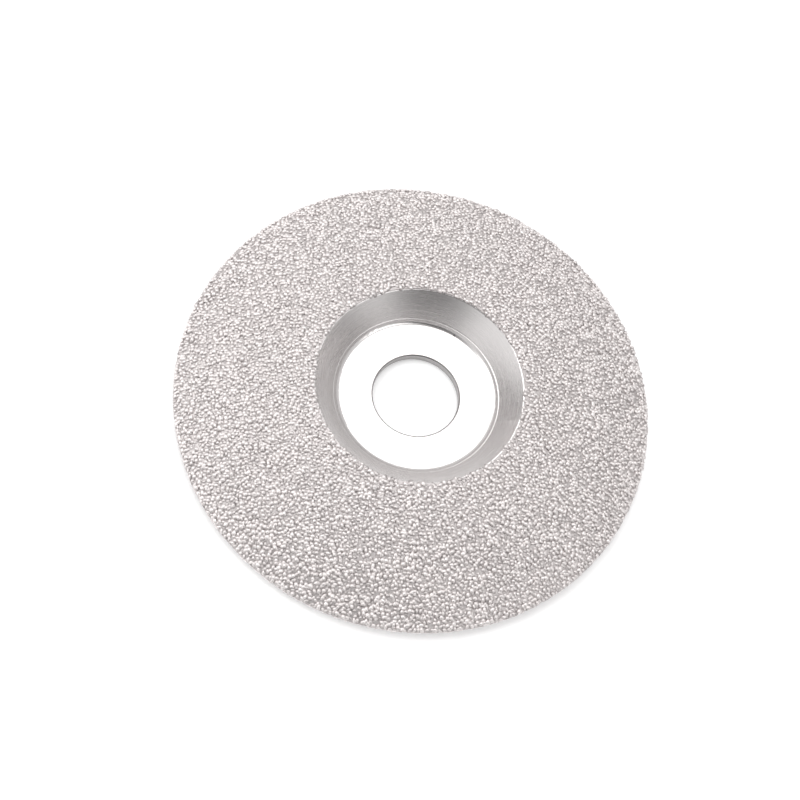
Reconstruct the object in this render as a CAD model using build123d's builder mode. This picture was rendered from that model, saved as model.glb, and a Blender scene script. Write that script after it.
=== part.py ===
from build123d import *
from math import asin, atan2, cos, degrees, floor, hypot, pi, sin, sqrt, tan
import os

# Dished diamond grinding wheel: a pressed steel plate with a turned recess and a brazed diamond coat.

# Driving dimensions, mm. The axis is Z, and z = 0 is the hub's back face.
outer_diameter = 110.0      # over the diamond coat
bore_diameter = 20.0
plate_thickness = 2.2       # the steel sheet, and so the hub
recess_foot_radius = 18.2   # where the cone wall would meet the hub floor
ridge_radius = 23.6         # where the cone wall meets the dome
recess_depth = 7.0          # hub floor to ridge
dome_drop = 6.6             # ridge to outer edge
crown_radius = 120.0        # curvature of the dome across the coated ring

foot_fillet = 1.2           # in the recess, between the floor and the cone wall
ridge_fillet = 0.25         # on the ridge between the cone wall and the dome
back_ridge_fillet = 2.4     # in the hollow behind the ridge
rim_round = 0.4             # on both edges of the plate's outer rim
bore_chamfer = 0.15         # on both edges of the bore
tool_line_height = 1.2      # turned line round the cone wall, above the hub floor
tool_line_radius = 0.25
tool_line_depth = 0.08

bond_thickness = 0.3        # braze metal that holds the diamonds
bond_setback = 0.15         # bare steel between the ridge and the coat
bond_wrap = 1.3             # how far the coat reaches down the outer edge
bond_round = 0.5            # on the bond's outer shoulder
bond_root = 0.6             # the bond's blank reaches this far into the plate before it is cut

grain_sides = 6
grain_width = 0.74          # across a diamond's corners
grain_height = 0.42         # how far a diamond stands out of the bond
grain_taper = 17.0          # degrees, the lean of a diamond's sides
grain_spacing = 5.5         # between the modelled diamonds
grain_margin = 0.1          # free bond between a diamond and its band's border
band_count = 6

# Sizes that follow from them
bore_radius = bore_diameter / 2
plate_radius = outer_diameter / 2 - bond_thickness - grain_height
ridge_height = plate_thickness + recess_depth
edge_height = ridge_height - dome_drop

# The dome is an arc from the ridge to the edge. Its centre lies below the chord.
chord_run = plate_radius - ridge_radius
chord_angle = atan2(dome_drop, chord_run)
centre_depth = sqrt(crown_radius**2 - hypot(chord_run, dome_drop) ** 2 / 4)
centre_radius = (ridge_radius + plate_radius) / 2 - centre_depth * sin(chord_angle)
centre_height = (ridge_height + edge_height) / 2 - centre_depth * cos(chord_angle)


def dome_point(lean, height):
    # radius and height of a point above the dome, where its normal leans outwards by lean radians
    reach = crown_radius + height
    return (centre_radius + reach * sin(lean), centre_height + reach * cos(lean))


def lean_at(radius, height):
    # lean of the normal where the surface at this height above the dome has this radius
    return asin((radius - centre_radius) / (crown_radius + height))


ridge_lean = lean_at(ridge_radius, 0)
edge_lean = lean_at(plate_radius, 0)
coat_lean = lean_at(ridge_radius + bond_setback, 0)


def edge_point(out, down):
    # point beside the plate's outer edge, out along the dome's tangent and down along its normal
    radius, height = dome_point(edge_lean, -down)
    return (radius + out * cos(edge_lean), height - out * sin(edge_lean))


# The plate's back outline is parallel to its front.
wall_slope = atan2(recess_depth, ridge_radius - recess_foot_radius)
back_foot_radius = recess_foot_radius + plate_thickness * tan(wall_slope / 2)
back_ridge_lean = ridge_lean
settling_rounds = 30
for settling_round in range(settling_rounds):
    # the back of the cone wall and the back of the dome meet where both have one height
    back_height = dome_point(back_ridge_lean, -plate_thickness)[1]
    back_ridge_radius = back_foot_radius + back_height / tan(wall_slope)
    back_ridge_lean = lean_at(back_ridge_radius, -plate_thickness)

os.makedirs("parts", exist_ok=True)

# Steel plate, one pressed piece with the recess, the hub and the bore
with BuildPart() as steel_core:
    with BuildSketch(Plane.XZ) as plate_profile:
        with BuildLine():
            recess = Polyline(
                (bore_radius, 0),
                (bore_radius, plate_thickness),
                (recess_foot_radius, plate_thickness),
                (ridge_radius, ridge_height),
            )
            front_dome = ThreePointArc(
                recess @ 1,
                dome_point((ridge_lean + edge_lean) / 2, 0),
                dome_point(edge_lean, 0),
            )
            rim = Line(front_dome @ 1, edge_point(0, plate_thickness))
            back_dome = ThreePointArc(
                rim @ 1,
                dome_point((back_ridge_lean + edge_lean) / 2, -plate_thickness),
                dome_point(back_ridge_lean, -plate_thickness),
            )
            Polyline(back_dome @ 1, (back_foot_radius, 0), (bore_radius, 0))
        make_face()
        for spot, size in (
            ((recess_foot_radius, plate_thickness), foot_fillet),
            ((back_foot_radius, 0), foot_fillet + plate_thickness),
            ((ridge_radius, ridge_height), ridge_fillet),
            ((back_ridge_radius, back_height), back_ridge_fillet),
            (edge_point(0, 0), rim_round),
            (edge_point(0, plate_thickness), rim_round),
        ):
            corner = plate_profile.vertices().sort_by_distance((spot[0], spot[1], 0))[0]
            fillet(corner, size)
        chamfer(plate_profile.vertices().group_by(Axis.X)[0], bore_chamfer)
    revolve(axis=Axis.Z)

    # turned line that the facing tool leaves round the cone wall
    line_radius = recess_foot_radius + tool_line_height / tan(wall_slope)
    line_rise = tool_line_radius - tool_line_depth
    with BuildSketch(Plane.XZ):
        with Locations(
            (
                line_radius - line_rise * sin(wall_slope),
                plate_thickness + tool_line_height + line_rise * cos(wall_slope),
            )
        ):
            Circle(tool_line_radius)
    revolve(axis=Axis.Z, mode=Mode.SUBTRACT)
steel_core.part.label = "steel_core"
export_step(steel_core.part, "parts/steel_core.step")

# Braze bond, a thin skin over the dome and round the outer edge
shoulder_lean = edge_lean + asin(bond_thickness / (crown_radius + bond_thickness))
with BuildPart() as braze_bond:
    with BuildSketch(Plane.XZ) as bond_profile:
        with BuildLine():
            skin = ThreePointArc(
                dome_point(coat_lean, bond_thickness),
                dome_point((coat_lean + shoulder_lean) / 2, bond_thickness),
                dome_point(shoulder_lean, bond_thickness),
            )
            Polyline(
                skin @ 1,
                edge_point(bond_thickness, bond_wrap),
                edge_point(-bond_root, bond_wrap),
                edge_point(-bond_root, bond_root),
            )
            ThreePointArc(
                edge_point(-bond_root, bond_root),
                dome_point((coat_lean + edge_lean) / 2, -bond_root),
                dome_point(coat_lean, -bond_root),
            )
            Line(dome_point(coat_lean, -bond_root), skin @ 0)
        make_face()
        shoulder = dome_point(shoulder_lean, bond_thickness)
        corner = bond_profile.vertices().sort_by_distance((shoulder[0], shoulder[1], 0))[0]
        fillet(corner, bond_round)
    revolve(axis=Axis.Z)
    add(steel_core.part, mode=Mode.SUBTRACT)
braze_bond.part.label = "braze_bond"
export_step(braze_bond.part, "parts/braze_bond.step")

# One diamond, a blunt six-sided crystal on its seat
with BuildPart() as diamond:
    with BuildSketch():
        RegularPolygon(grain_width / 2, grain_sides)
    extrude(amount=grain_height, taper=grain_taper)

golden_angle = degrees(pi * (3 - sqrt(5)))
band_start = ridge_radius + bond_setback + grain_width / 2 + grain_margin
band_end = dome_point(edge_lean, bond_thickness)[0] - bond_round - grain_width / 2
band_step = (band_end - band_start) / band_count


def dome_seats(inner, outer):
    # seats for diamonds, spread evenly over one band of the dome
    count = floor(pi * (outer**2 - inner**2) / grain_spacing**2)
    seats = []
    for index in range(count):
        radius = sqrt(inner**2 + (outer**2 - inner**2) * (index + 0.5) / count)
        lean = lean_at(radius, bond_thickness)
        height = dome_point(lean, bond_thickness)[1]
        turn = Rotation(0, 0, index * golden_angle)
        seats.append(turn * Location((radius, 0, height), (0, degrees(lean), 0)))
    return seats


# Diamonds in concentric bands, from the recess outwards
for band in range(band_count):
    inner = band_start + band * band_step + (grain_width / 2 + grain_margin if band else 0)
    outer = band_start + (band + 1) * band_step - grain_width / 2 - grain_margin
    with BuildPart() as diamond_band:
        with Locations(*dome_seats(inner, outer)):
            add(diamond.part)
    name = f"diamond_band_{band + 1}"
    diamond_band.part.label = name
    export_step(diamond_band.part, f"parts/{name}.step")

# Diamonds round the outer edge
with BuildPart() as diamond_edge:
    seat_radius, seat_height = edge_point(bond_thickness, bond_wrap / 2)
    count = floor(2 * pi * seat_radius / grain_spacing)
    seats = [
        Rotation(0, 0, index * 360 / count)
        * Location((seat_radius, 0, seat_height), (0, 90 + degrees(edge_lean), 0))
        for index in range(count)
    ]
    with Locations(*seats):
        add(diamond.part)
diamond_edge.part.label = "diamond_edge"
export_step(diamond_edge.part, "parts/diamond_edge.step")
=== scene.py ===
import math
import random

import bmesh
import bpy
from mathutils import Matrix, Vector


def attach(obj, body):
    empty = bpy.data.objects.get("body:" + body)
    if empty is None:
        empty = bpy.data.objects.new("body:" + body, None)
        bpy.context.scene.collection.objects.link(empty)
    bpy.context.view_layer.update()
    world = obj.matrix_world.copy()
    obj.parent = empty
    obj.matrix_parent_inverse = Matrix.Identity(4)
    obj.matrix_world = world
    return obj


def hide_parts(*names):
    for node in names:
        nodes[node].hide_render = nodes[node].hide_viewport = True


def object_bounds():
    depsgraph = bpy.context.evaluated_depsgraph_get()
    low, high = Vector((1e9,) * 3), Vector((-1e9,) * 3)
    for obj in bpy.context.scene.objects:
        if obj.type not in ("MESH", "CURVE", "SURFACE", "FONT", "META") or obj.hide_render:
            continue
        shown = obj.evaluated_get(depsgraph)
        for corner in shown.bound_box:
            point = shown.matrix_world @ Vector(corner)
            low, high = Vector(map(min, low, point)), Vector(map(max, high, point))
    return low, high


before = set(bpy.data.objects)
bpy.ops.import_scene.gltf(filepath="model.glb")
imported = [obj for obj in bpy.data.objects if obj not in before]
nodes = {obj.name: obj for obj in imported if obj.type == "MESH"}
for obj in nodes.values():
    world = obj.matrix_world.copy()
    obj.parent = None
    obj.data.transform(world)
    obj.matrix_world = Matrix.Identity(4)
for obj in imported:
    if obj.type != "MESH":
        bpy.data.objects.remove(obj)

cadLow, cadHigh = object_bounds()
mm = 0.001
scene = bpy.context.scene


# small helpers for node trees

def addNode(tree, kind, inputs=None, **settings):
    # a node with its settings, and its inputs set or linked by name or number
    node = tree.nodes.new(kind)
    for name, value in settings.items():
        setattr(node, name, value)
    for key, value in (inputs or {}).items():
        socket = node.inputs[key]
        if isinstance(value, bpy.types.NodeSocket):
            tree.links.new(value, socket)
        else:
            socket.default_value = value
    return node


def maths(tree, operation, first, second=None):
    values = {0: first}
    if second is not None:
        values[1] = second
    return addNode(tree, "ShaderNodeMath", values, operation=operation).outputs[0]


def mapRange(tree, value, fromLow=0.0, fromHigh=1.0, toLow=0.0, toHigh=1.0, **settings):
    inputs = {"Value": value, "From Min": fromLow, "From Max": fromHigh, "To Min": toLow, "To Max": toHigh}
    return addNode(tree, "ShaderNodeMapRange", inputs, **settings).outputs[0]


def blendColour(tree, factor, first, second):
    # a Mix node's colour sockets share their names with its other sockets, so they go by number
    mix = addNode(tree, "ShaderNodeMix", {"Factor": factor, 6: first, 7: second}, data_type="RGBA")
    return mix.outputs[2]


def newMaterial(name):
    material = bpy.data.materials.new(name)
    material.use_nodes = True
    tree = material.node_tree
    tree.nodes.clear()
    output = tree.nodes.new("ShaderNodeOutputMaterial")
    shader = tree.nodes.new("ShaderNodeBsdfPrincipled")
    tree.links.new(shader.outputs[0], output.inputs[0])
    return material, tree, shader


def newGroup(name, inputs, outputs):
    # inputs are (name, default), outputs are (name, socket type)
    group = bpy.data.node_groups.new(name, "ShaderNodeTree")
    for label, default in inputs:
        socket = group.interface.new_socket(label, in_out="INPUT", socket_type="NodeSocketFloat")
        socket.default_value = default
    for label, kind in outputs:
        group.interface.new_socket(label, in_out="OUTPUT", socket_type=kind)
    return group, group.nodes.new("NodeGroupInput"), group.nodes.new("NodeGroupOutput")


turned = {
    "climb": 0.8,             # how much of the height counts as radius, so that steep walls get rings too
    "driftScale": 90.0,
    "driftReach": 40.0,
    "bumpHeight": 0.02 * mm,
}


def makeTurnedLines():
    # fine rings round the axis, as a cutting tool or an abrasive pad leaves them
    group, given, result = newGroup(
        "turnedLines",
        [("Pitch", 0.12 * mm), ("Depth", 0.6), ("Wander", 0.04)],
        [("Lines", "NodeSocketFloat"), ("Radius", "NodeSocketFloat"), ("Normal", "NodeSocketVector")],
    )
    place = addNode(group, "ShaderNodeTexCoord").outputs["Object"]
    axes = addNode(group, "ShaderNodeSeparateXYZ", {0: place})
    x, y, z = axes.outputs
    squares = maths(group, "ADD", maths(group, "MULTIPLY", x, x), maths(group, "MULTIPLY", y, y))
    radius = maths(group, "SQRT", squares)
    along = maths(group, "ADD", radius, maths(group, "MULTIPLY", z, turned["climb"]))
    rings = maths(group, "DIVIDE", along, given.outputs["Pitch"])
    # a little of the place itself breaks each ring up along its length
    drift = addNode(
        group, "ShaderNodeTexNoise", {"Vector": place, "Scale": turned["driftScale"], "Detail": 2.0}
    ).outputs[0]
    wander = maths(group, "MULTIPLY", maths(group, "SUBTRACT", drift, 0.5), given.outputs["Wander"])
    drifted = maths(group, "MULTIPLY", wander, turned["driftReach"])
    ringPlace = addNode(group, "ShaderNodeCombineXYZ", {0: rings, 1: drifted})
    lines = addNode(
        group, "ShaderNodeTexNoise",
        {"Vector": ringPlace.outputs[0], "Scale": 1.0, "Detail": 3.0, "Roughness": 0.6},
    ).outputs[0]
    bump = addNode(
        group, "ShaderNodeBump",
        {"Strength": given.outputs["Depth"], "Distance": turned["bumpHeight"], "Height": lines},
    )
    group.links.new(lines, result.inputs["Lines"])
    group.links.new(radius, result.inputs["Radius"])
    group.links.new(bump.outputs[0], result.inputs["Normal"])
    return group


crumbHeight = 0.08 * mm


def makeMetalGrain():
    # crumbly grain of metal that froze without being polished
    group, given, result = newGroup(
        "metalGrain",
        [("Scale", 4000.0), ("Depth", 0.5)],
        [("Grain", "NodeSocketFloat"), ("Normal", "NodeSocketVector")],
    )
    place = addNode(group, "ShaderNodeTexCoord").outputs["Object"]
    coarse = addNode(
        group, "ShaderNodeTexNoise",
        {"Vector": place, "Scale": given.outputs["Scale"], "Detail": 4.0, "Roughness": 0.6},
    ).outputs[0]
    bump = addNode(
        group, "ShaderNodeBump",
        {"Strength": given.outputs["Depth"], "Distance": crumbHeight, "Height": coarse},
    )
    group.links.new(coarse, result.inputs["Grain"])
    group.links.new(bump.outputs[0], result.inputs["Normal"])
    return group


def makeCoatTint():
    # slow drift of warm and cool patches over the brazed coat
    group, given, result = newGroup("coatTint", [("Scale", 60.0)], [("Tint", "NodeSocketFloat")])
    place = addNode(group, "ShaderNodeTexCoord").outputs["Object"]
    patches = addNode(
        group, "ShaderNodeTexNoise", {"Vector": place, "Scale": given.outputs["Scale"], "Detail": 3.0}
    ).outputs[0]
    group.links.new(patches, result.inputs["Tint"])
    return group


turnedLines = makeTurnedLines()
metalGrain = makeMetalGrain()
coatTint = makeCoatTint()


def useGroup(tree, group, **values):
    node = tree.nodes.new("ShaderNodeGroup")
    node.node_tree = group
    for name, value in values.items():
        node.inputs[name.replace("_", " ")].default_value = value
    return node


noiseSpan = (0.3, 0.7)       # nearly all of a noise texture's values lie in here

turnedSteel = {
    "bright": (0.83, 0.805, 0.80, 1),
    "dull": (0.69, 0.665, 0.66, 1),
    "boreWallShade": (0.40, 0.385, 0.385, 1),     # painted shade on the bore's wall
    "boreReach": 10.03 * mm,
    "boreEdgeShade": (0.21, 0.20, 0.20, 1),       # painted shade: a dark line over the bore's broken edge
    "edgeReach": 10.34 * mm,
    "marked": (0.32, 0.31, 0.31, 1),
    "roughLow": 0.20,
    "roughHigh": 0.33,
    "pitch": 0.10 * mm,
    "lineDepth": 0.55,
    "lineWander": 0.05,
    "lineShare": 0.6,        # of the shine, the rest comes from slow clouds
    "cloudScale": 70.0,
    "speckScale": 260.0,
    "speckCore": 0.05,       # in cells of the speck pattern
    "speckRim": 0.09,
    "speckRarity": 0.82,
}


def makeTurnedSteel():
    size = turnedSteel
    material, tree, shader = newMaterial("turnedSteel")
    lines = useGroup(
        tree, turnedLines, Pitch=size["pitch"], Depth=size["lineDepth"], Wander=size["lineWander"]
    )
    place = addNode(tree, "ShaderNodeTexCoord").outputs["Object"]
    # small dents and specks that handling leaves
    cells = addNode(tree, "ShaderNodeTexVoronoi", {"Vector": place, "Scale": size["speckScale"]})
    speck = mapRange(tree, cells.outputs["Distance"], size["speckCore"], size["speckRim"], 1.0, 0.0)
    cellDraw = addNode(tree, "ShaderNodeSeparateColor", {0: cells.outputs["Color"]}).outputs[0]
    mark = maths(tree, "MULTIPLY", speck, maths(tree, "GREATER_THAN", cellDraw, size["speckRarity"]))
    cloud = addNode(
        tree, "ShaderNodeTexNoise", {"Vector": place, "Scale": size["cloudScale"], "Detail": 4.0}
    ).outputs[0]
    shine = maths(
        tree, "ADD",
        maths(tree, "MULTIPLY", lines.outputs["Lines"], size["lineShare"]),
        maths(tree, "MULTIPLY", cloud, 1 - size["lineShare"]),
    )
    colour = blendColour(tree, shine, size["dull"], size["bright"])
    colour = blendColour(tree, mark, colour, size["marked"])
    # painted shade along the bore's broken edge
    onEdge = maths(tree, "LESS_THAN", lines.outputs["Radius"], size["edgeReach"])
    colour = blendColour(tree, onEdge, colour, size["boreEdgeShade"])
    # painted shade darkens the bore's wall
    inBore = maths(tree, "LESS_THAN", lines.outputs["Radius"], size["boreReach"])
    colour = blendColour(tree, inBore, colour, size["boreWallShade"])
    rough = mapRange(tree, shine, *noiseSpan, size["roughHigh"], size["roughLow"])
    tree.links.new(colour, shader.inputs["Base Color"])
    tree.links.new(rough, shader.inputs["Roughness"])
    tree.links.new(lines.outputs["Normal"], shader.inputs["Normal"])
    shader.inputs["Metallic"].default_value = 1.0
    return material


brazeMetal = {
    "light": (0.66, 0.62, 0.615, 1),
    "dark": (0.44, 0.41, 0.405, 1),
    "grainScale": 3500.0,
    "grainDepth": 0.9,
    "grainShare": 0.8,       # of the tone, the rest comes from the coat's tint
    "tintScale": 55.0,
    "roughLow": 0.32,
    "roughRise": 0.3,
}


def makeBrazeMetal():
    size = brazeMetal
    material, tree, shader = newMaterial("brazeMetal")
    grain = useGroup(tree, metalGrain, Scale=size["grainScale"], Depth=size["grainDepth"])
    tint = useGroup(tree, coatTint, Scale=size["tintScale"])
    tone = maths(
        tree, "ADD",
        maths(tree, "MULTIPLY", grain.outputs["Grain"], size["grainShare"]),
        maths(tree, "MULTIPLY", tint.outputs[0], 1 - size["grainShare"]),
    )
    rough = maths(tree, "ADD", maths(tree, "MULTIPLY", tone, size["roughRise"]), size["roughLow"])
    tree.links.new(blendColour(tree, tone, size["dark"], size["light"]), shader.inputs["Base Color"])
    tree.links.new(rough, shader.inputs["Roughness"])
    tree.links.new(grain.outputs["Normal"], shader.inputs["Normal"])
    shader.inputs["Metallic"].default_value = 1.0
    return material


brazedDiamond = {
    "bright": (0.89, 0.85, 0.84, 1),
    "dull": (0.77, 0.73, 0.725, 1),
    "warm": (0.87, 0.815, 0.80, 1),
    "gapShade": (0.50, 0.465, 0.46, 1),    # painted shade low between the crystals
    "roughLow": 0.36,
    "roughHigh": 0.60,
    "metallic": 0.9,
    "grainScale": 6000.0,
    "grainDepth": 0.35,
    "tintScale": 60.0,
    "tintShare": 0.5,
}


def makeBrazedDiamond():
    size = brazedDiamond
    material, tree, shader = newMaterial("brazedDiamond")
    grain = useGroup(tree, metalGrain, Scale=size["grainScale"], Depth=size["grainDepth"])
    tint = useGroup(tree, coatTint, Scale=size["tintScale"])
    tone = addNode(tree, "ShaderNodeAttribute", attribute_name="grainTone").outputs["Fac"]
    shadeFade = addNode(tree, "ShaderNodeAttribute", attribute_name="grainClean").outputs["Fac"]
    colour = blendColour(tree, tone, size["dull"], size["bright"])
    warmth = maths(tree, "MULTIPLY", tint.outputs[0], size["tintShare"])
    colour = blendColour(tree, warmth, colour, size["warm"])
    # painted shade: each crystal is darker low down, between its neighbours, fading with height
    unshaded = mapRange(tree, shadeFade, interpolation_type="SMOOTHSTEP")
    colour = blendColour(tree, unshaded, size["gapShade"], colour)
    rough = mapRange(tree, grain.outputs["Grain"], *noiseSpan, size["roughLow"], size["roughHigh"])
    tree.links.new(colour, shader.inputs["Base Color"])
    tree.links.new(rough, shader.inputs["Roughness"])
    tree.links.new(grain.outputs["Normal"], shader.inputs["Normal"])
    shader.inputs["Metallic"].default_value = size["metallic"]
    return material


steelMaterial = makeTurnedSteel()
brazeMaterial = makeBrazeMetal()
diamondMaterial = makeBrazedDiamond()
print("materials made")


# the steel plate and the bond keep their CAD shape
def finishNode(name, material):
    mesh = nodes[name].data
    mesh.materials.clear()
    mesh.materials.append(material)


finishNode("steel_core", steelMaterial)
finishNode("braze_bond", brazeMaterial)


# the coat of diamonds, one plain mesh for each ring of the bond
grains = {
    "spacing": 0.68 * mm,    # closest that two crystals' centres come
    "inset": 0.12 * mm,      # between the coat's inner border and the first crystals' centres
    "size": 0.60 * mm,       # a crystal's half width before it is scaled
    "small": 0.80,
    "large": 1.12,
    "tilt": 0.45,            # how far a crystal leans from its seat, in radians
    "gapShadeLow": 0.02 * mm,   # above the bond's face, where the painted shade between crystals begins to fade
    "gapShadeHigh": 0.24 * mm,
    "sinkDeep": 0.16 * mm,   # how far below the bond's face the deepest centre lies
    "sinkHigh": 0.0 * mm,
    "seed": 7,
    "density": 2.0e7,        # tries per square metre, before the spacing thins them out
    "skinLean": -0.05,       # a face that leans inwards more than this is not outer skin
    "skinRise": 0.35,        # least sum of a face's upward and outward lean on the outer skin
    "shoulder": 0.6,         # upward lean that parts the dome's crystals from the edge's
    "shapeCount": 9,
    "shapeSeed": 41,
    "squash": ((1.0, 1.5), (0.8, 1.05), (0.68, 0.88)),
    "push": 0.28,
}


def makeGrainShapes():
    # blunt crystals, each the hull of a cuboctahedron's corners pushed about a little
    shapes = bpy.data.collections.new("grainShapes")
    draw = random.Random(grains["shapeSeed"])
    corners = [
        Vector(p)
        for a in (-1, 1)
        for b in (-1, 1)
        for p in ((a, b, 0), (a, 0, b), (0, a, b))
    ]
    for number in range(grains["shapeCount"]):
        mesh = bmesh.new()
        squash = Vector([draw.uniform(*span) for span in grains["squash"]])
        for corner in corners:
            push = Vector([draw.uniform(-grains["push"], grains["push"]) for axis in range(3)])
            mesh.verts.new((corner / math.sqrt(2) + push) * squash * grains["size"])
        bmesh.ops.convex_hull(mesh, input=mesh.verts)
        loose = [v for v in mesh.verts if not v.link_faces]
        bmesh.ops.delete(mesh, geom=loose, context="VERTS")
        bmesh.ops.recalc_face_normals(mesh, faces=mesh.faces)
        data = bpy.data.meshes.new(f"grainShape{number}")
        mesh.to_mesh(data)
        mesh.free()
        shapes.objects.link(bpy.data.objects.new(data.name, data))
    return shapes


def makeGrainTree(shapes):
    tree = bpy.data.node_groups.new("scatterGrains", "GeometryNodeTree")
    tree.interface.new_socket("Geometry", in_out="INPUT", socket_type="NodeSocketGeometry")
    for name in (
        "Inner Radius", "Outer Radius", "Lowest Lean", "Highest Lean", "Spacing", "Smallest", "Largest",
        "Tilt", "Sink Deep", "Sink High", "Stain Low", "Stain High", "Top", "Reach",
    ):
        tree.interface.new_socket(name, in_out="INPUT", socket_type="NodeSocketFloat")
    tree.interface.new_socket("Seed", in_out="INPUT", socket_type="NodeSocketInt")
    tree.interface.new_socket("Material", in_out="INPUT", socket_type="NodeSocketMaterial")
    tree.interface.new_socket("Geometry", in_out="OUTPUT", socket_type="NodeSocketGeometry")
    given = tree.nodes.new("NodeGroupInput").outputs
    result = tree.nodes.new("NodeGroupOutput")

    def compare(operation, first, second):
        return addNode(
            tree, "FunctionNodeCompare", {0: first, 1: second}, operation=operation, data_type="FLOAT"
        ).outputs[0]

    def both(first, second):
        return addNode(tree, "FunctionNodeBooleanMath", {0: first, 1: second}, operation="AND").outputs[0]

    def vectorMaths(operation, first, second=None):
        inputs = {0: first} if second is None else {0: first, 1: second}
        return addNode(tree, "ShaderNodeVectorMath", inputs, operation=operation).outputs

    def randomValue(low, high, offset):
        seed = maths(tree, "ADD", given["Seed"], offset)
        node = addNode(tree, "FunctionNodeRandomValue", {"Seed": seed}, data_type="FLOAT")
        sockets = [s for s in node.inputs if s.name in ("Min", "Max") and s.type == "VALUE"]
        for socket, value in zip(sockets, (low, high)):
            if isinstance(value, bpy.types.NodeSocket):
                tree.links.new(value, socket)
            else:
                socket.default_value = value
        return [s for s in node.outputs if s.type == "VALUE"][0]

    # crystals lie only on the bond's outer skin, so faces that look down or inwards are left out
    welded = addNode(
        tree, "GeometryNodeMergeByDistance", {"Geometry": given["Geometry"], "Distance": 0.001 * mm}
    )
    place = addNode(tree, "GeometryNodeInputPosition").outputs[0]
    flat = vectorMaths("MULTIPLY", place, (1, 1, 0))[0]
    radius = vectorMaths("LENGTH", flat)["Value"]
    outwards = vectorMaths("NORMALIZE", flat)[0]
    normal = addNode(tree, "GeometryNodeInputNormal").outputs["True Normal"]
    lean = vectorMaths("DOT_PRODUCT", normal, outwards)["Value"]
    rise = addNode(tree, "ShaderNodeSeparateXYZ", {0: normal}).outputs["Z"]
    isSkin = both(
        compare("GREATER_THAN", lean, grains["skinLean"]),
        compare("GREATER_THAN", maths(tree, "ADD", rise, lean), grains["skinRise"]),
    )
    skin = addNode(
        tree, "GeometryNodeSeparateGeometry",
        {"Geometry": welded.outputs[0], "Selection": isSkin}, domain="FACE",
    )
    scatter = addNode(
        tree, "GeometryNodeDistributePointsOnFaces",
        {"Mesh": skin.outputs[0], "Distance Min": given["Spacing"], "Density Max": grains["density"],
         "Seed": given["Seed"]},
        distribute_method="POISSON",
    )
    up = addNode(tree, "ShaderNodeSeparateXYZ", {0: scatter.outputs["Normal"]}).outputs["Z"]
    inBand = both(
        compare("GREATER_EQUAL", radius, given["Inner Radius"]),
        compare("LESS_THAN", radius, given["Outer Radius"]),
    )
    inLean = both(
        compare("GREATER_EQUAL", up, given["Lowest Lean"]), compare("LESS_THAN", up, given["Highest Lean"])
    )
    kept = addNode(
        tree, "GeometryNodeSeparateGeometry",
        {"Geometry": scatter.outputs["Points"], "Selection": both(inBand, inLean)}, domain="POINT",
    )
    lift = maths(tree, "MULTIPLY", randomValue(given["Sink High"], given["Sink Deep"], 1), -1.0)
    offset = addNode(
        tree, "ShaderNodeVectorMath", {0: scatter.outputs["Normal"], "Scale": lift}, operation="SCALE"
    ).outputs[0]
    seat = addNode(tree, "GeometryNodeCaptureAttribute", {"Geometry": kept.outputs[0]}, domain="POINT")
    seat.capture_items.new("VECTOR", "Place")
    seat.capture_items.new("VECTOR", "Normal")
    tree.links.new(place, seat.inputs["Place"])
    tree.links.new(scatter.outputs["Normal"], seat.inputs["Normal"])
    raised = addNode(tree, "GeometryNodeSetPosition", {"Geometry": seat.outputs[0], "Offset": offset})
    crystals = addNode(
        tree, "GeometryNodeCollectionInfo",
        {"Collection": shapes, "Separate Children": True, "Reset Children": True},
    )
    backTilt = maths(tree, "MULTIPLY", given["Tilt"], -1.0)
    turn = addNode(
        tree, "ShaderNodeCombineXYZ",
        {0: randomValue(backTilt, given["Tilt"], 2), 1: randomValue(backTilt, given["Tilt"], 6),
         2: randomValue(0.0, math.tau, 7)},
    )
    facing = addNode(
        tree, "FunctionNodeRotateRotation",
        {"Rotation": scatter.outputs["Rotation"], "Rotate By": turn.outputs[0]}, rotation_space="LOCAL",
    )
    shapeSeed = maths(tree, "ADD", given["Seed"], 3)
    which = addNode(tree, "FunctionNodeRandomValue", {"Seed": shapeSeed}, data_type="INT")
    whole = [s for s in which.inputs if s.type == "INT" and s.name in ("Min", "Max")]
    whole[0].default_value = 0
    whole[1].default_value = grains["shapeCount"] - 1
    placed = addNode(
        tree, "GeometryNodeInstanceOnPoints",
        {"Points": raised.outputs[0], "Instance": crystals.outputs[0], "Pick Instance": True,
         "Instance Index": [s for s in which.outputs if s.type == "INT"][0],
         "Rotation": facing.outputs[0], "Scale": randomValue(given["Smallest"], given["Largest"], 4)},
    )
    toned = addNode(
        tree, "GeometryNodeStoreNamedAttribute",
        {"Geometry": placed.outputs[0], "Name": "grainTone", "Value": randomValue(0.0, 1.0, 5)},
        data_type="FLOAT", domain="INSTANCE",
    )
    real = addNode(tree, "GeometryNodeRealizeInstances", {0: toned.outputs[0]})
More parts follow.
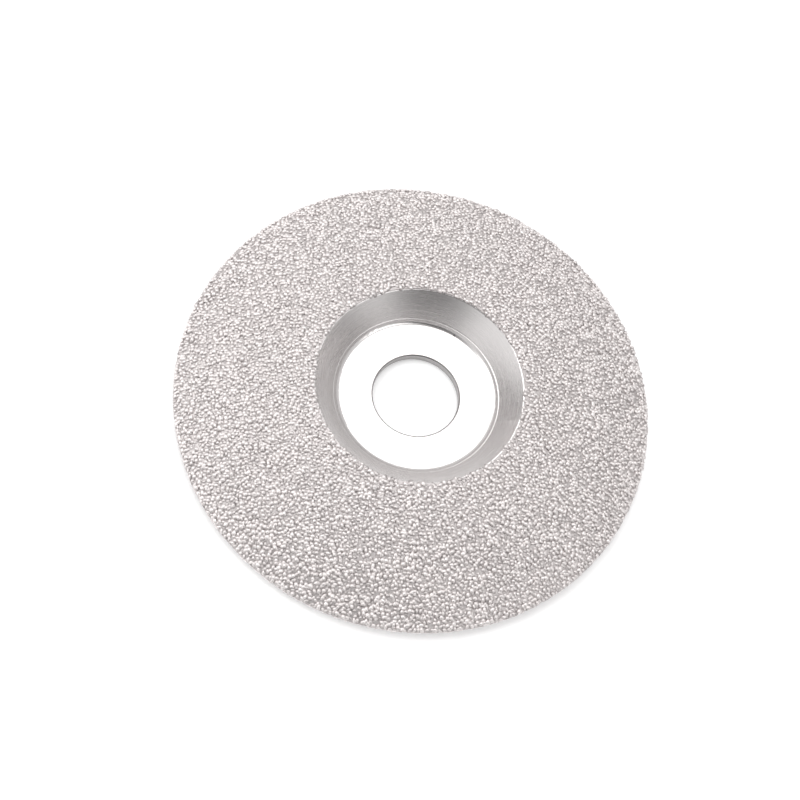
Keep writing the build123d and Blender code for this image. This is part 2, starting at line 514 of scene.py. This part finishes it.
    # tips are worn level: nothing stands above Top or outside Reach
    spot = addNode(tree, "ShaderNodeSeparateXYZ", {0: place})
    shrink = maths(tree, "MINIMUM", maths(tree, "DIVIDE", given["Reach"], radius), 1.0)
    worn = addNode(
        tree, "ShaderNodeCombineXYZ",
        {0: maths(tree, "MULTIPLY", spot.outputs[0], shrink),
         1: maths(tree, "MULTIPLY", spot.outputs[1], shrink),
         2: maths(tree, "MINIMUM", spot.outputs[2], given["Top"])},
    )
    # painted shade between the crystals: a point's height above its seat sets how much
    above = vectorMaths("SUBTRACT", place, seat.outputs["Place"])[0]
    height = vectorMaths("DOT_PRODUCT", above, seat.outputs["Normal"])["Value"]
    shadeFade = mapRange(tree, height, given["Stain Low"], given["Stain High"])
    marked = addNode(
        tree, "GeometryNodeStoreNamedAttribute",
        {"Geometry": real.outputs[0], "Name": "grainClean", "Value": shadeFade},
        data_type="FLOAT", domain="POINT",
    )
    dressed = addNode(
        tree, "GeometryNodeSetPosition", {"Geometry": marked.outputs[0], "Position": worn.outputs[0]}
    )
    smooth = addNode(
        tree, "GeometryNodeSetShadeSmooth", {"Geometry": dressed.outputs[0], "Shade Smooth": True}
    )
    coloured = addNode(
        tree, "GeometryNodeSetMaterial", {"Geometry": smooth.outputs[0], "Material": given["Material"]}
    )
    tree.links.new(coloured.outputs[0], result.inputs[0])
    return tree


def makeGrains(name, tree, inner, outer, lowestLean, highestLean):
    # one plain mesh of crystals, for the ring of bond between two radii
    carrier = bpy.data.objects.new(name + "Carrier", nodes["braze_bond"].data.copy())
    scene.collection.objects.link(carrier)
    modifier = carrier.modifiers.new("grains", "NODES")
    modifier.node_group = tree
    values = {
        "Inner Radius": inner, "Outer Radius": outer, "Lowest Lean": lowestLean, "Highest Lean": highestLean,
        "Spacing": grains["spacing"], "Smallest": grains["small"], "Largest": grains["large"],
        "Tilt": grains["tilt"], "Sink Deep": grains["sinkDeep"], "Sink High": grains["sinkHigh"],
        "Stain Low": grains["gapShadeLow"], "Stain High": grains["gapShadeHigh"],
        "Top": cadHigh.z, "Reach": min(cadHigh.x, cadHigh.y),
        "Seed": grains["seed"], "Material": diamondMaterial,
    }
    for item in tree.interface.items_tree:
        if item.in_out == "INPUT" and item.name in values:
            modifier[item.identifier] = values[item.name]
    carrier.update_tag()
    bpy.context.view_layer.update()
    ready = carrier.evaluated_get(bpy.context.evaluated_depsgraph_get())
    mesh = bpy.data.meshes.new_from_object(ready)
    mesh.name = name
    bpy.data.objects.remove(carrier)
    piece = bpy.data.objects.new(name, mesh)
    scene.collection.objects.link(piece)
    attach(piece, "root")
    print(name, len(mesh.vertices), "points", sum(len(p.vertices) - 2 for p in mesh.polygons), "triangles")
    return piece


pastCoat = 1.0       # metres, a radius outside the whole wheel
pastUpright = 2.0    # more than any upward lean


def makeCoat():
    tree = makeGrainTree(makeGrainShapes())
    bondPlaces = [v.co.xy.length for v in nodes["braze_bond"].data.vertices]
    coatStart, coatEnd = min(bondPlaces), max(bondPlaces)
    bandCount = sum(1 for name in nodes if name.startswith("diamond_band_"))
    bandWidth = (coatEnd - coatStart) / bandCount
    for band in range(bandCount):
        inner = coatStart + max(band * bandWidth, grains["inset"])
        outer = coatStart + (band + 1) * bandWidth if band < bandCount - 1 else pastCoat
        piece = makeGrains(f"coatBand{band + 1}", tree, inner, outer, grains["shoulder"], pastUpright)
        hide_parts(f"diamond_band_{band + 1}")
    piece = makeGrains("coatEdge", tree, 0.0, pastCoat, -pastUpright, grains["shoulder"])
    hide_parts("diamond_edge")


makeCoat()
print("coat made")


floorSet = {"half": 3.0, "drop": 0.02 * mm, "colour": (0.95, 0.95, 0.95, 1), "rough": 0.9, "glow": 0.20}

lights = {
    "sky": 0.84,            # brightness all round
    "lean": (-0.14, -0.08, 0.0),   # brighter to the left
    "dark": (0.20, -0.72, 0.66),   # where the room is dark, in front
    "darkness": 0.74,
    "darkInner": 0.95,      # cosines of the dark patch's core and rim
    "darkOuter": 0.61,
    "backdrop": 0.97,       # what the camera sees of the room, plain and pale
    "back": {"place": (-0.14, 0.32, 0.88), "size": 0.7, "power": 2.5},
    "left": {"place": (-0.60, -0.05, 0.50), "size": 0.6, "power": 1.6},
    "right": {"place": (0.52, -0.27, 0.62), "size": 0.6, "power": 1.5},
}


def makeFloor():
    mesh = bpy.data.meshes.new("floor")
    half, low = floorSet["half"], cadLow.z - floorSet["drop"]
    corners = [(-half, -half, low), (half, -half, low), (half, half, low), (-half, half, low)]
    mesh.from_pydata(corners, [], [(0, 1, 2, 3)])
    floorPiece = bpy.data.objects.new("floor", mesh)
    scene.collection.objects.link(floorPiece)
    material, tree, shader = newMaterial("paleFloor")
    shader.inputs["Base Color"].default_value = floorSet["colour"]
    shader.inputs["Roughness"].default_value = floorSet["rough"]
    shader.inputs["Specular IOR Level"].default_value = 0.0
    shader.inputs["Emission Color"].default_value = (1, 1, 1, 1)
    shader.inputs["Emission Strength"].default_value = floorSet["glow"]
    mesh.materials.append(material)


def addLight(name, place, size, power):
    data = bpy.data.lights.new(name, "AREA")
    data.shape = "DISK"
    data.size = size
    data.energy = power
    lamp = bpy.data.objects.new(name, data)
    scene.collection.objects.link(lamp)
    lamp.location = place
    lamp.rotation_euler = (-Vector(place)).to_track_quat("-Z", "Y").to_euler()


def makeWorld():
    # an even pale room, a little brighter at the left and dark in front
    world = bpy.data.worlds.new("studio")
    world.use_nodes = True
    tree = world.node_tree
    tree.nodes.clear()
    way = addNode(tree, "ShaderNodeTexCoord").outputs["Generated"]

    def along(direction):
        return addNode(
            tree, "ShaderNodeVectorMath", {0: way, 1: direction}, operation="DOT_PRODUCT"
        ).outputs["Value"]

    lean = along(lights["lean"])
    patch = mapRange(
        tree, along(Vector(lights["dark"]).normalized()), lights["darkOuter"], lights["darkInner"],
        interpolation_type="SMOOTHSTEP",
    )
    bright = maths(tree, "ADD", lean, lights["sky"])
    bright = maths(tree, "SUBTRACT", bright, maths(tree, "MULTIPLY", patch, lights["darkness"]))
    seen = addNode(tree, "ShaderNodeLightPath").outputs["Is Camera Ray"]
    bright = maths(tree, "MAXIMUM", bright, maths(tree, "MULTIPLY", seen, lights["backdrop"]))
    background = addNode(tree, "ShaderNodeBackground", {"Color": (1, 1, 1, 1), "Strength": bright})
    output = tree.nodes.new("ShaderNodeOutputWorld")
    tree.links.new(background.outputs[0], output.inputs[0])
    scene.world = world


cameraSet = {
    "lens": 54.0,
    "sensor": 36.0,
    "distance": 270.6 * mm,
    "elevation": 65.77,
    "azimuth": 0.0,
    "roll": 19.96,
    "aim": (-3.06 * mm, -3.77 * mm, 5.0 * mm),
    "clip": (0.01, 20.0),
}


def makeCamera():
    data = bpy.data.cameras.new("camera")
    data.sensor_width = cameraSet["sensor"]
    data.lens = cameraSet["lens"]
    data.clip_start, data.clip_end = cameraSet["clip"]
    camera = bpy.data.objects.new("camera", data)
    scene.collection.objects.link(camera)
    rise, turn = math.radians(cameraSet["elevation"]), math.radians(cameraSet["azimuth"])
    back = Vector((math.sin(turn) * math.cos(rise), -math.cos(turn) * math.cos(rise), math.sin(rise)))
    facing = (-back).to_track_quat("-Z", "Y").to_matrix().to_4x4()
    roll = Matrix.Rotation(math.radians(cameraSet["roll"]), 4, "Z")
    place = Matrix.Translation(Vector(cameraSet["aim"]) + back * cameraSet["distance"])
    camera.matrix_world = place @ facing @ roll
    scene.camera = camera


makeFloor()
makeWorld()
addLight("backLight", **lights["back"])
addLight("leftLight", **lights["left"])
addLight("rightLight", **lights["right"])
makeCamera()
scene.view_settings.view_transform = "Standard"
print("stage set")
